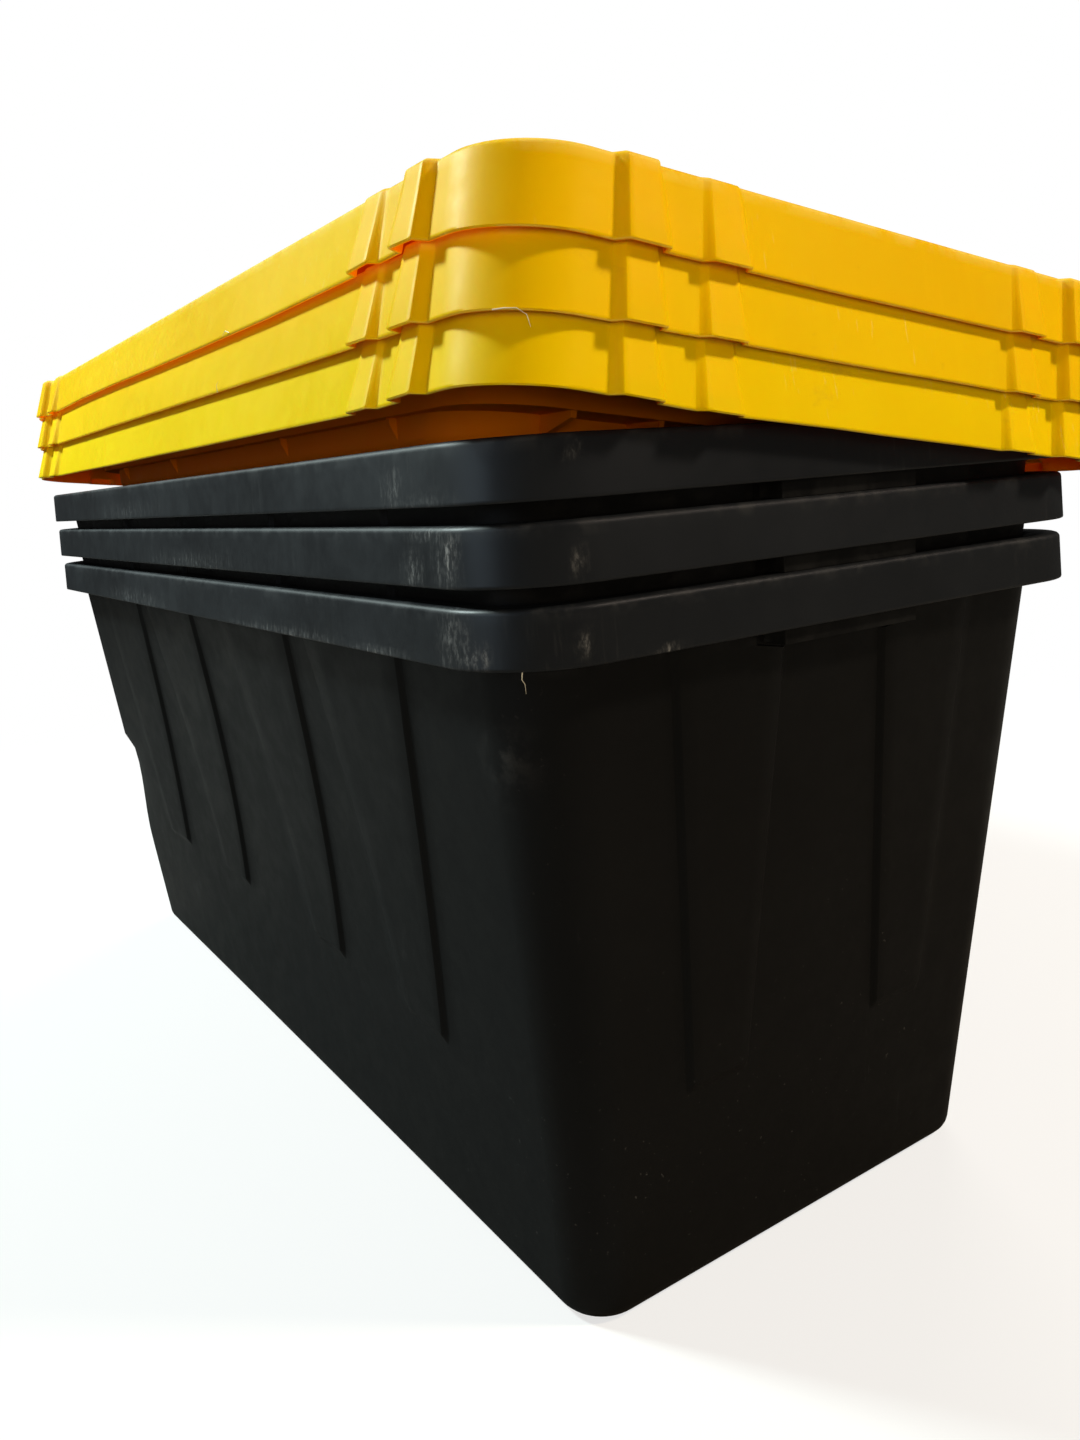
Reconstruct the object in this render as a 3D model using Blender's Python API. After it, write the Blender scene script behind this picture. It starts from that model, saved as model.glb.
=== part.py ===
"""A nested stack of three storage bins with three loose lids lying on top.

Metres, +Z up. X runs along the bins, Y across them, and the lowest bin stands on Z = 0.
Each bin and each lid is one thin moulding, skinned through rings that run from its inner floor,
over the edge, to its outer floor.
"""
import math

import bmesh
import bpy

# Bin: outside sizes over the rim, and the moulded wall
BIN_LENGTH = 1.100
BIN_WIDTH = 0.503
BIN_HEIGHT = 0.480
BIN_WALL = 0.0026
WALL_DRAFT = math.radians(5.0)
WALL_CORNER_TOP = 0.048
WALL_CORNER_FLOOR = 0.034
FLOOR_FILLET = 0.012

# Rim: a turned-down band that stands out from the wall
RIM_BAND = 0.032
RIM_OVERHANG = 0.022
RIM_CORNER = 0.060
RIM_EDGE = 0.005
RIM_LEAN = 0.0015
MOUTH_EDGE = 0.004

# Raised panels on the bin's walls, which run up into the rim
PANEL_RISE = 0.0035
PANEL_FLANK = 0.0045
PANEL_FOOT_HEIGHT = 0.150
PANEL_FOOT_SLOPE = 0.010
LONG_PANEL_CENTRES = (0.120, 0.310)
LONG_PANEL_TOP = 0.160
LONG_PANEL_FOOT = 0.056
END_PANEL_CENTRE = 0.087
END_PANEL_TOP = 0.087
END_PANEL_FOOT = 0.044

# Stop lug under the rim at each end, which sets how deep the bins nest
NEST_PITCH = 0.042
LUG_HALF = 0.058
LUG_FLANK = 0.003
LUG_TO_BAND = 0.002
LUG_TO_PANEL = 0.003
LUG_CHAMFER = 0.004

# Lid: plan over the skirt's foot, without the stop pockets that stand out from it
LID_MARGIN = 0.0125
LID_SKIRT = 0.043
LID_WALL = 0.0022
LID_CORNER = 0.048
SKIRT_INSET_TOP = 0.007
LID_EDGE = 0.003

# Tray sunk in the lid, which drops into the bin's mouth
TRAY_LENGTH = 0.860
TRAY_WIDTH = 0.412
TRAY_DEPTH = 0.052
TRAY_DRAFT = math.radians(6.0)
TRAY_CORNER = 0.050
TRAY_FILLET = 0.008

# Ledge part way up the tray's wall, above which the tray is wider
LEDGE_HEIGHT = 0.010
LEDGE_END = 0.035
LEDGE_SIDE = 0.008

# Ribs under the ledge, which taper off down to the tray's fillet: places along half a long side and
# half an end, and section
LONG_RIB_PLACES = (0.150, 0.340)
END_RIB_PLACES = (0.080, 0.146)
RIB_THICK = 0.0040
RIB_TAPER = 0.0005
RIB_TOE = 0.004
RIB_SHORT = 0.003

# Stop pockets in the skirt, a pair beside every corner, which set how deep the lids nest
LID_PITCH = 0.036
OUTER_POCKET_PLACE = 0.081
OUTER_POCKET_RISE = 0.0075
INNER_POCKET_PLACE = 0.136
INNER_POCKET_RISE = 0.0040
POCKET_RISE_SHARE_TOP = 0.8
POCKET_WIDTH_FOOT = 0.034
POCKET_WIDTH_TOP = 0.027
POCKET_FLANK = 0.0045
POCKET_ROOT = 0.006
POCKET_SHELF_LIP = 0.003

# Rest pose of the lids: seated on the far rim and tipped about the long axis
LID_TILT = math.radians(6.9)
LID_SHIFT = 0.006
SEAT_GAP = 0.0003

# Resolution of the rounded shapes
CORNER_STEPS = 6
FILLET_STEPS = 3
EDGE_STEPS = 2
SHARP_ANGLE = math.radians(32.0)

BIN_COLOUR = (0.0125, 0.0130, 0.0140, 1.0)
BIN_ROUGHNESS = 0.42
LID_COLOUR = (0.800, 0.540, 0.012, 1.0)
LID_ROUGHNESS = 0.38

BIN_NAMES = ("bin_lower", "bin_middle", "bin_upper")
LID_NAMES = ("lid_lower", "lid_middle", "lid_upper")

# Sizes that follow from those above
BAND_FOOT = BIN_HEIGHT - RIM_BAND
RIM_HALF = (BIN_LENGTH / 2, BIN_WIDTH / 2)
LUG_FOOT = BIN_HEIGHT + SEAT_GAP - NEST_PITCH
LID_HALF = tuple(half + LID_MARGIN for half in RIM_HALF)
TRAY_HALF = (TRAY_LENGTH / 2, TRAY_WIDTH / 2)
SHELF_HEIGHT = LID_SKIRT + SEAT_GAP - LID_PITCH
SKIRT_DRAFT = math.atan(SKIRT_INSET_TOP / LID_SKIRT)
POCKETS = (
    (-1, OUTER_POCKET_PLACE, OUTER_POCKET_RISE),
    (-1, INNER_POCKET_PLACE, INNER_POCKET_RISE),
    (1, INNER_POCKET_PLACE, INNER_POCKET_RISE),
    (1, OUTER_POCKET_PLACE, OUTER_POCKET_RISE),
)


class Bump:
    """A stretch of a side that is pushed outwards between two sloping flanks."""

    def __init__(self, start, end, flank, push=0.0, lift=0.0):
        self.start = start
        self.end = end
        self.flank = flank
        self.push = push
        self.lift = lift

    def points(self):
        """Distances along the side, with the push and lift at each."""
        return (
            (self.start, 0.0, 0.0),
            (self.start + self.flank, self.push, self.lift),
            (self.end - self.flank, self.push, self.lift),
            (self.end, 0.0, 0.0),
        )


def plan_ring(half, radius, height, long_bumps, end_bumps):
    """Points round a rectangle with rounded corners, anticlockwise from above."""
    straights = (half[0] - radius, half[1] - radius)
    ring = []
    for side in range(4):
        along = side % 2
        turn = side * math.pi / 2
        cos, sin = round(math.cos(turn)), round(math.sin(turn))
        straight, reach = straights[along], half[1 - along]
        for bump in (long_bumps, end_bumps)[along]:
            for run, push, lift in bump.points():
                out = reach + push
                ring.append((run * cos + out * sin, run * sin - out * cos, height + lift))
        for step in range(CORNER_STEPS + 1):
            angle = math.pi / 2 * step / CORNER_STEPS
            run = straight + radius * math.sin(angle)
            out = reach - radius + radius * math.cos(angle)
            ring.append((run * cos + out * sin, run * sin - out * cos, height))
    return ring


def grown(half, amount):
    """The plan's half sizes, larger by an amount on every side."""
    return (half[0] + amount, half[1] + amount)


def arc_steps(steps):
    """Sine and one minus cosine along a quarter turn."""
    for step in range(steps + 1):
        angle = math.pi / 2 * step / steps
        yield math.sin(angle), 1.0 - math.cos(angle)


def skin(name, rings, material):
    """One closed object through the rings, with a flat face across both ends."""
    mesh = bmesh.new()
    loops = [[mesh.verts.new(point) for point in ring] for ring in rings]
    count = len(loops[0])
    for lower, upper in zip(loops, loops[1:]):
        for i in range(count):
            j = (i + 1) % count
            mesh.faces.new((lower[i], lower[j], upper[j], upper[i]))
    mesh.faces.new(loops[0])
    mesh.faces.new(loops[-1])
    bmesh.ops.recalc_face_normals(mesh, faces=mesh.faces)
    data = bpy.data.meshes.new(name)
    mesh.to_mesh(data)
    mesh.free()
    data.materials.append(material)
    data.shade_smooth()
    data.set_sharp_from_angle(angle=SHARP_ANGLE)
    item = bpy.data.objects.new(name, data)
    bpy.context.scene.collection.objects.link(item)
    return item


def plastic(name, colour, roughness):
    """A moulded plastic finish."""
    material = bpy.data.materials.new(name)
    material.use_nodes = True
    shader = material.node_tree.nodes["Principled BSDF"]
    shader.inputs["Base Color"].default_value = colour
    shader.inputs["Roughness"].default_value = roughness
    shader.inputs["Metallic"].default_value = 0.0
    material.diffuse_color = colour
    return material


def wall_half(height):
    """Outer half sizes of the bin's wall at a height."""
    return grown(RIM_HALF, -RIM_OVERHANG - (BAND_FOOT - height) * math.tan(WALL_DRAFT))


def wall_corner(height):
    """Outer corner radius of the bin's wall at a height."""
    share = height / BIN_HEIGHT
    return WALL_CORNER_FLOOR + (WALL_CORNER_TOP - WALL_CORNER_FLOOR) * share


def panel_span(centre, width_top, width_foot, height):
    """Start and end of a panel's base, which narrows from the rim down to the panel's foot."""
    share = min((BIN_HEIGHT - height) / (BIN_HEIGHT - PANEL_FOOT_HEIGHT), 1.0)
    half = (width_top + (width_foot - width_top) * share) / 2 + PANEL_FLANK
    return centre - half, centre + half


def bin_ring(half, radius, height, rise=0.0, lug=None, lug_lift=0.0):
    """A ring of the bin, with its panels raised and its end lugs pushed out.

    A ring that meets the lugs keeps its points at their flanks, even where they aren't pushed out.
    """
    long_bumps = []
    for centre in sorted(sign * run for run in LONG_PANEL_CENTRES for sign in (-1, 1)):
        start, end = panel_span(centre, LONG_PANEL_TOP, LONG_PANEL_FOOT, height)
        long_bumps.append(Bump(start, end, PANEL_FLANK, rise))
    start, end = panel_span(END_PANEL_CENTRE, END_PANEL_TOP, END_PANEL_FOOT, height)
    if lug is not None:
        start = LUG_HALF + LUG_FLANK + LUG_TO_PANEL
    stop = start - LUG_TO_PANEL
    end_bumps = [
        Bump(-end, -start, PANEL_FLANK, rise),
        Bump(-stop, stop, LUG_FLANK, lug or 0.0, lug_lift),
        Bump(start, end, PANEL_FLANK, rise),
    ]
    return plan_ring(half, radius, height, long_bumps, end_bumps)


def bin_inside():
    """Rings from the inner floor up to the mouth."""
    thick = BIN_WALL / math.cos(WALL_DRAFT)

    def ring(height, inset=0.0, rise=0.0):
        half = grown(wall_half(height), -thick - inset)
        return bin_ring(half, wall_corner(height) - thick - inset, height, rise)

    rings = []
    for out, up in arc_steps(FILLET_STEPS):
        rings.append(ring(BIN_WALL + FLOOR_FILLET * up, FLOOR_FILLET * (1.0 - out)))
    rings.append(ring(PANEL_FOOT_HEIGHT))
    rings.append(ring(PANEL_FOOT_HEIGHT + PANEL_FOOT_SLOPE, rise=PANEL_RISE))
    for out, up in arc_steps(EDGE_STEPS):
        height = BIN_HEIGHT - MOUTH_EDGE * (1.0 - out)
        rings.append(ring(height, -MOUTH_EDGE * up, PANEL_RISE))
    return rings


def bin_rim():
    """Rings over the rim, down the band and back up under it."""
    top_half = grown(RIM_HALF, -RIM_LEAN)
    rings = []
    for out, down in arc_steps(EDGE_STEPS):
        inset = RIM_EDGE * (1.0 - out)
        rings.append(bin_ring(grown(top_half, -inset), RIM_CORNER - inset, BIN_HEIGHT - RIM_EDGE * down))
    rings.append(bin_ring(RIM_HALF, RIM_CORNER, BAND_FOOT))
    rings.append(bin_ring(grown(RIM_HALF, -BIN_WALL), RIM_CORNER - BIN_WALL, BAND_FOOT))
    under_half = grown(top_half, -BIN_WALL)
    rings.append(bin_ring(under_half, RIM_CORNER - BIN_WALL, BIN_HEIGHT - BIN_WALL, lug=0.0))
    return rings


def bin_outside():
    """Rings from under the rim down to the outer floor, with the stop lugs at the ends."""
    lug_half = RIM_HALF[0] - BIN_WALL - LUG_TO_BAND

    def ring(height, inset=0.0, rise=0.0, lug=None, lift=0.0):
        half = grown(wall_half(height), -inset)
        push = None if lug is None else lug * (lug_half - RIM_LEAN - half[0])
        return bin_ring(half, wall_corner(height) - inset, height, rise, push, lift)

    rings = [ring(BIN_HEIGHT - BIN_WALL, rise=PANEL_RISE, lug=1.0)]
    rings.append(ring(LUG_FOOT + LUG_CHAMFER, rise=PANEL_RISE, lug=1.0, lift=-LUG_CHAMFER))
    rings.append(ring(LUG_FOOT, rise=PANEL_RISE, lug=0.0))
    rings.append(ring(LUG_FOOT - LUG_CHAMFER, rise=PANEL_RISE))
    rings.append(ring(PANEL_FOOT_HEIGHT + PANEL_FOOT_SLOPE, rise=PANEL_RISE))
    rings.append(ring(PANEL_FOOT_HEIGHT))
    for down, inward in arc_steps(FILLET_STEPS):
        rings.append(ring(FLOOR_FILLET * (1.0 - down), FLOOR_FILLET * inward))
    return rings


def skirt_half(height):
    """Outer half sizes of the lid's skirt at a height above its foot."""
    return grown(LID_HALF, -height * math.tan(SKIRT_DRAFT))


def lid_ring(half, radius, height, width, rise=0.0, lift=0.0):
    """A ring of the lid's skirt, with its stop pockets pushed out."""

    def bumps(side):
        found = []
        for sign, place, push in POCKETS:
            centre = sign * (LID_HALF[side] - place)
            found.append(Bump(centre - width / 2, centre + width / 2, POCKET_FLANK, push * rise, lift))
        return found

    return plan_ring(half, radius, height, bumps(0), bumps(1))


def tray_ring(half, radius, height, ribs=(0.0, 0.0)):
    """A ring of the lid's tray, with its ribs pushed out on the long sides and on the ends."""
    base = RIB_THICK / 2 + RIB_TAPER

    def bumps(places, push):
        centres = sorted(sign * place for place in places for sign in (-1, 1))
        return [Bump(centre - base, centre + base, RIB_TAPER, push) for centre in centres]

    return plan_ring(half, radius, height, bumps(LONG_RIB_PLACES, ribs[0]), bumps(END_RIB_PLACES, ribs[1]))


def tray_half(height):
    """Outer half sizes of the tray's wall at a height above the skirt's foot."""
    return grown(TRAY_HALF, -(LID_SKIRT - height) * math.tan(TRAY_DRAFT))


def above_ledge(half):
    """The tray's half sizes, widened as they are above its ledge."""
    return (half[0] + LEDGE_END, half[1] + LEDGE_SIDE)


def lid_top():
    """Rings from the tray's floor up its wall, over its ledge and over the lid's outer edge."""
    floor = LID_SKIRT - TRAY_DEPTH
    thick = LID_WALL / math.cos(TRAY_DRAFT)
    rings = []
    for out, up in arc_steps(FILLET_STEPS):
        height = floor + TRAY_FILLET * up
        inset = thick + TRAY_FILLET * (1.0 - out)
        rings.append(tray_ring(grown(tray_half(height), -inset), TRAY_CORNER - inset, height))
    ledge_top = LEDGE_HEIGHT + LID_WALL
    half = grown(tray_half(ledge_top), -thick)
    rings.append(tray_ring(half, TRAY_CORNER - thick, ledge_top))
    rings.append(tray_ring(above_ledge(half), TRAY_CORNER - thick, ledge_top))
    for out, up in arc_steps(EDGE_STEPS):
        height = LID_SKIRT - LID_EDGE * (1.0 - out)
        inset = thick - LID_EDGE * up
        half = above_ledge(grown(tray_half(height), -inset))
        rings.append(tray_ring(half, TRAY_CORNER - inset, height))
    inset = LID_EDGE + POCKET_ROOT
    half = grown(skirt_half(LID_SKIRT), -inset)
    rings.append(lid_ring(half, LID_CORNER - inset, LID_SKIRT, POCKET_WIDTH_TOP))
    for out, down in arc_steps(EDGE_STEPS):
        height = LID_SKIRT - LID_EDGE * down
        inset = LID_EDGE * (1.0 - out)
        half = grown(skirt_half(height), -inset)
        radius = LID_CORNER - inset
        rings.append(lid_ring(half, radius, height, POCKET_WIDTH_TOP, POCKET_RISE_SHARE_TOP))
    return rings


def lid_underside():
    """Rings from the skirt's foot up inside it, over the stop shelves, the ledge and its ribs, and
    down the tray.
    """
    inner = POCKET_WIDTH_FOOT - 2 * LID_WALL
    radius = LID_CORNER - LID_WALL

    def inside(height, rise=0.0, lift=0.0):
        return lid_ring(grown(skirt_half(height), -LID_WALL), radius, height, inner, rise, lift)

    rings = [lid_ring(LID_HALF, LID_CORNER, 0.0, POCKET_WIDTH_FOOT, 1.0)]
    rings.append(inside(0.0, 1.0))
    rings.append(inside(SHELF_HEIGHT - POCKET_SHELF_LIP, 1.0, POCKET_SHELF_LIP))
    rings.append(inside(SHELF_HEIGHT))
    plate = LID_SKIRT - LID_WALL
    rings.append(inside(plate))
    rings.append(tray_ring(above_ledge(tray_half(plate)), TRAY_CORNER, plate))
    half = tray_half(LEDGE_HEIGHT)
    ribs = (LEDGE_SIDE - RIB_SHORT, LEDGE_END - RIB_SHORT)
    rings.append(tray_ring(above_ledge(half), TRAY_CORNER, LEDGE_HEIGHT))
    rings.append(tray_ring(half, TRAY_CORNER, LEDGE_HEIGHT, ribs))
    toe = LEDGE_HEIGHT - RIB_TOE
    rings.append(tray_ring(tray_half(toe), TRAY_CORNER, toe, ribs))
    foot_height = LID_SKIRT - TRAY_DEPTH - LID_WALL
    for down, inward in arc_steps(FILLET_STEPS):
        height = foot_height + TRAY_FILLET * (1.0 - down)
        inset = TRAY_FILLET * inward
        rings.append(tray_ring(grown(tray_half(height), -inset), TRAY_CORNER - inset, height))
    return rings


def lid_seat():
    """Place of the lowest lid's foot plane, where its plate comes to rest on the far rim's edge."""
    sin, cos = math.sin(LID_TILT), math.cos(LID_TILT)
    top = BIN_HEIGHT + (len(BIN_NAMES) - 1) * NEST_PITCH
    edge_y = RIM_HALF[1] - RIM_LEAN - RIM_EDGE
    edge_z = top - RIM_EDGE
    plate = LID_SKIRT - LID_WALL
    rise = (RIM_EDGE + SEAT_GAP - plate - sin * (LID_SHIFT - edge_y)) / cos
    return (0.0, LID_SHIFT, edge_z + rise)


def make_bins():
    """The bins, each dropped into the one below until its lugs meet that one's rim."""
    finish = plastic("black_plastic", BIN_COLOUR, BIN_ROUGHNESS)
    for level, name in enumerate(BIN_NAMES):
        item = skin(name, bin_inside() + bin_rim() + bin_outside(), finish)
        item.location = (0.0, 0.0, level * NEST_PITCH)


def make_lids():
    """The lids, nested in each other along the tipped lid's own upright."""
    finish = plastic("yellow_plastic", LID_COLOUR, LID_ROUGHNESS)
    seat = lid_seat()
    upright = (0.0, math.sin(LID_TILT), math.cos(LID_TILT))
    for level, name in enumerate(LID_NAMES):
        item = skin(name, lid_top() + lid_underside(), finish)
        item.rotation_euler = (-LID_TILT, 0.0, 0.0)
        item.location = [seat[k] + upright[k] * level * LID_PITCH for k in range(3)]


for leftover in list(bpy.data.objects):
    bpy.data.objects.remove(leftover)
make_bins()
make_lids()
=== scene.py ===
"""Looks of the nested storage bins with their loose lids, at the photograph's view.

Metres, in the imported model's frame. Each moulding of that model is replaced by a finer one: the same
form, with rounded flanks and edges, the small warps of used plastic, and worn, node-based finishes.
"""
import math

import bpy
import numpy as np
from mathutils import Matrix, Vector, noise


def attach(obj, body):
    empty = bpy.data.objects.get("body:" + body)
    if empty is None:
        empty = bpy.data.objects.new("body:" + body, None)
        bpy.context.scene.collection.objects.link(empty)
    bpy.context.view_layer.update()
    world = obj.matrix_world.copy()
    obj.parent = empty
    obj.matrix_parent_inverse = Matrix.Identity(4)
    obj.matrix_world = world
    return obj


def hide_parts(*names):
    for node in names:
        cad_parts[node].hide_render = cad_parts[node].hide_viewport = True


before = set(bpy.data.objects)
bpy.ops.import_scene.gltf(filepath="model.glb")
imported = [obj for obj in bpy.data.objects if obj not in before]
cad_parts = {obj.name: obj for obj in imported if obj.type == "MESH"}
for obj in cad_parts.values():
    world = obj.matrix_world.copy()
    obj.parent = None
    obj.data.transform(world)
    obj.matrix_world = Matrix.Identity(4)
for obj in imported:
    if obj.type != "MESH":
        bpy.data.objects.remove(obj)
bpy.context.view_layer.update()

# Bin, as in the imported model, with a crisper top edge and a rounded lip on its rim
BIN_LENGTH, BIN_WIDTH, BIN_HEIGHT = 1.100, 0.503, 0.480
BIN_WALL = 0.0026
WALL_DRAFT = math.radians(5.0)
WALL_CORNER_TOP, WALL_CORNER_FLOOR = 0.048, 0.034
FLOOR_FILLET = 0.012
RIM_BAND, RIM_OVERHANG, RIM_CORNER = 0.032, 0.022, 0.060
RIM_EDGE, RIM_LEAN, RIM_LIP, MOUTH_EDGE = 0.005, 0.0015, 0.0009, 0.004
RIM_ROUND = 0.0035
PANEL_RISE, PANEL_FLANK = 0.0035, 0.0045
PANEL_FOOT_HEIGHT, PANEL_FOOT_SLOPE = 0.150, 0.010
LONG_PANEL_CENTRES = (-0.310, -0.120, 0.120, 0.310)
LONG_PANEL_TOP, LONG_PANEL_FOOT = 0.160, 0.056
END_PANEL_CENTRE, END_PANEL_TOP, END_PANEL_FOOT = 0.087, 0.087, 0.044
NEST_PITCH = 0.042
LUG_HALF, LUG_FLANK, LUG_TO_BAND, LUG_TO_PANEL, LUG_CHAMFER = 0.058, 0.003, 0.002, 0.003, 0.004

# Lid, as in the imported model, with a rounded lip and more flare on its inner pockets
LID_MARGIN, LID_SKIRT, LID_WALL, LID_CORNER = 0.0125, 0.043, 0.0022, 0.048
SKIRT_INSET_TOP, LID_EDGE, LID_LIP = 0.007, 0.003, 0.0008
TRAY_LENGTH, TRAY_WIDTH, TRAY_DEPTH = 0.860, 0.412, 0.052
TRAY_DRAFT = math.radians(6.0)
TRAY_CORNER, TRAY_FILLET = 0.050, 0.008
LEDGE_HEIGHT, LEDGE_END, LEDGE_SIDE = 0.010, 0.035, 0.008
LONG_RIB_PLACES = (-0.340, -0.150, 0.150, 0.340)
END_RIB_PLACES = (-0.146, -0.080, 0.080, 0.146)
RIB_THICK, RIB_TAPER, RIB_TOE, RIB_SHORT = 0.0040, 0.0005, 0.004, 0.003
LID_PITCH = 0.036
OUTER_POCKET_PLACE, OUTER_POCKET_RISE = 0.081, 0.0075
INNER_POCKET_PLACE, INNER_POCKET_RISE = 0.136, 0.0055
OUTER_SHARE_TOP, INNER_SHARE_TOP = 0.8, 0.35
POCKET_WIDTH_FOOT, POCKET_WIDTH_TOP, POCKET_FLANK = 0.034, 0.027, 0.0045
POCKET_ROOT, POCKET_SHELF_LIP = 0.006, 0.003
LID_TILT = math.radians(6.9)
LID_SHIFT = 0.006
SEAT_GAP = 0.0003

# Bow of the bins' long walls: depth, top, middle, shape, and where it starts across the bin
WALL_BOW = 0.012
BOW_HEIGHT = 0.44
BOW_MIDDLE = 0.03
BOW_POWER = 1.5
BOW_START, BOW_FADE = 0.12, 0.06

# Dent in the bins' near wall: how far it reaches along and across, above and below its place
DENT_PLACE = Vector((-0.490, -0.205, 0.225))
DENT_DEPTH, DENT_REACH = 0.008, 0.050
DENT_ABOVE, DENT_EDGE, DENT_BELOW = 0.030, 0.020, 0.110
DENT_SHARE_LENGTHWISE = 0.5

# Curl of the lids' skirts at the near corner, full on the lowest lid and less on the others
CORNER_CURL, NESTED_CURL_SHARE = 0.0035, 0.25
CURL_START, CURL_FADE = (0.40, 0.12), (0.15, 0.12)
CURL_SHARE_OF_SKIRT, SKIRT_REACH = 0.75, 0.02

# Gaps under the top lid's near skirt: place along it, reach and height
GAP_PLACES = ((-0.20, 0.18, 0.0030), (0.46, 0.06, 0.0028))
GAP_FADE = 0.2

# Small waves: size, fineness, and the noise's seeds
SKIRT_RIPPLE, SKIRT_RIPPLE_SCALE, SKIRT_SEED, SKIRT_SEED_STEP = 0.0006, 11.0, 20.0, 7.0
SKIRT_RIPPLE_FADE = 0.1
RIM_RIPPLE, RIM_RIPPLE_SCALE, RIM_SEED_STEP = 0.0004, 7.0, 5.0

# White scuffs on each bin, from the lowest up: place, reach and strength
SCUFF_DEEP = 0.02
BIN_SCUFFS = (
    (
        ((0.496, -0.250, 0.463), (0.007, SCUFF_DEEP, 0.016), 0.9),
        ((0.507, -0.249, 0.4545), (0.004, SCUFF_DEEP, 0.004), 1.0),
        ((0.516, -0.246, 0.4535), (0.003, SCUFF_DEEP, 0.007), 0.8),
        ((0.400, -0.251, 0.449), (0.030, SCUFF_DEEP, 0.003), 0.8),
        ((0.250, -0.251, 0.449), (0.090, SCUFF_DEEP, 0.004), 0.6),
        ((-0.160, -0.251, 0.452), (0.100, SCUFF_DEEP, 0.008), 0.4),
        ((0.549, -0.152, 0.449), (SCUFF_DEEP, 0.006, 0.002), 0.9),
        ((0.548, -0.205, 0.459), (SCUFF_DEEP, 0.003, 0.005), 0.7),
        ((0.490, -0.224, 0.393), (0.016, SCUFF_DEEP, 0.016), 0.35),
        ((0.301, -0.208, 0.221), (0.006, SCUFF_DEEP, 0.006), 1.0),
        ((-0.300, -0.198, 0.095), (0.060, 0.03, 0.030), 0.25),
        ((-0.440, -0.205, 0.200), (0.050, 0.03, 0.060), 0.28),
    ),
    (
        ((0.496, -0.250, 0.506), (0.006, SCUFF_DEEP, 0.016), 1.0),
        ((0.480, -0.251, 0.519), (0.018, SCUFF_DEEP, 0.003), 0.6),
        ((0.455, -0.251, 0.497), (0.009, SCUFF_DEEP, 0.010), 0.6),
        ((0.050, -0.251, 0.494), (0.100, SCUFF_DEEP, 0.008), 0.4),
        ((0.549, -0.205, 0.502), (SCUFF_DEEP, 0.002, 0.006), 0.5),
    ),
    (
        ((0.440, -0.251, 0.541), (0.005, SCUFF_DEEP, 0.010), 0.7),
        ((0.478, -0.251, 0.535), (0.020, SCUFF_DEEP, 0.003), 0.5),
        ((0.549, -0.205, 0.556), (SCUFF_DEEP, 0.002, 0.004), 0.45),
        ((-0.150, -0.251, 0.538), (0.100, SCUFF_DEEP, 0.008), 0.3),
    ),
)

# Hairs of moulding flash: section, and each one's node and path
FLASH_RADIUS, FLASH_TAPER, FLASH_SIDES = 0.00035, 0.8, 6
FLASH = (
    ("lid_middle", (
        (0.5440, -0.2420, 0.6196), (0.5488, -0.2385, 0.6197), (0.5530, -0.2345, 0.6192),
        (0.5560, -0.2312, 0.6160), (0.5568, -0.2300, 0.6105),
    )),
    ("lid_middle", ((0.1780, -0.2522, 0.6196), (0.1800, -0.2530, 0.6245), (0.1845, -0.2528, 0.6268))),
    ("lid_upper", ((0.2060, -0.2480, 0.6570), (0.2000, -0.2486, 0.6590), (0.1940, -0.2490, 0.6560))),
    ("bin_lower", (
        (0.5305, -0.2318, 0.4482), (0.5302, -0.2322, 0.4440), (0.5312, -0.2312, 0.4415),
        (0.5310, -0.2308, 0.4365),
    )),
)

# Colours of the black walls and rims
WALL_DARK, WALL_LIGHT = (0.0030, 0.0030, 0.0031, 1.0), (0.0050, 0.0051, 0.0054, 1.0)
WALL_WORN, WALL_DUST = (0.16, 0.165, 0.17, 1.0), (0.13, 0.13, 0.13, 1.0)
RIM_DARK, RIM_LIGHT = (0.0058, 0.0069, 0.0088, 1.0), (0.0088, 0.0105, 0.0134, 1.0)
RIM_WORN = (0.30, 0.305, 0.31, 1.0)

# Colours of the lids: their green and painted glow, from the lowest up, what lies on the yellow, the
# painted orange shade of the underside, and where the glow fades towards the far side
LID_GREENS = (0.530, 0.490, 0.465)
LID_GLOWS = (0.02, 0.08, 0.45)
GLOW_GREEN_SHARE = 0.22
GLOW_NEAR, GLOW_FAR, GLOW_FAR_SHARE = -0.245, -0.215, 0.15
LID_DIRT, LID_RUBBED = (0.42, 0.24, 0.03, 1.0), (0.88, 0.68, 0.16, 1.0)
# The underside colour is painted shade: a darker orange for the same yellow plastic where it lies in shade
LID_SCRATCH, UNDERSIDE_SHADE = (0.90, 0.74, 0.24, 1.0), (0.72, 0.19, 0.002, 1.0)
BLACK = (0.0, 0.0, 0.0, 1.0)

# Flash colours, how strongly each plastic mirrors, and how far light goes into the lids
FLASH_DARK, FLASH_LIGHT = (0.72, 0.68, 0.52, 1.0), (0.86, 0.84, 0.74, 1.0)
WALL_SPECULAR, RIM_SPECULAR, LID_SPECULAR = 0.18, 0.40, 0.11
LID_SPECULAR_TINT = (1.0, 0.85, 0.35, 1.0)
LID_SUBSURFACE, LID_SUBSURFACE_RADIUS = 0.20, (0.010, 0.004, 0.0006)

# Seeds of the finishes' noise, from one bin or lid to the next
BIN_SEED_STEP, LID_SEED_STEP = 4.3, 3.7

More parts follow.
